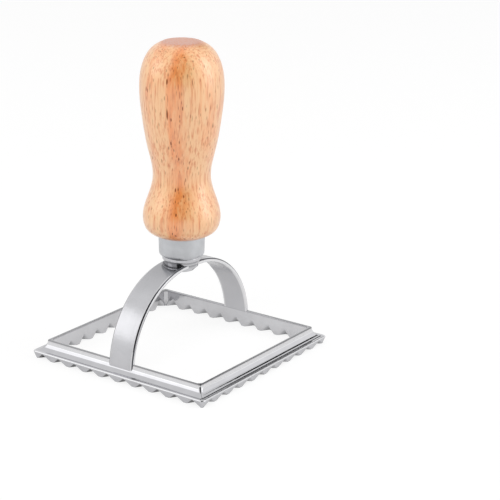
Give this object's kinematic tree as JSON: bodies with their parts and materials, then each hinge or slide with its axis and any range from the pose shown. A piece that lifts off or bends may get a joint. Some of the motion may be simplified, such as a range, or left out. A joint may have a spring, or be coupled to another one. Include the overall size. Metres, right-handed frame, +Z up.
{
  "type": "ravioli stamp",
  "caption": "Square stamp that cuts and seals filled pasta: a cast frame with a fluted edge, an arch over it and a turned wooden handle.",
  "frame": {"origin": "centre of the square cutting edge, in the plane that the stamp stands on", "axes": "+Z up along the handle's axis; the arch spans the frame along Y; the walls lie along X and Y"},
  "size_m": [0.076, 0.076, 0.1132],
  "materials": {
    "cast_metal": "polished casting, satin on the arch",
    "ferrule_metal": "satin",
    "wood": "lacquered, fine straight grain",
    "screw_steel": "plain bright steel"
  },
  "bodies": {
    "root": {"stamp_frame": "cast_metal", "ferrule": "ferrule_metal", "handle": "wood", "handle_screw": "screw_steel"}
  },
  "joints": []
}
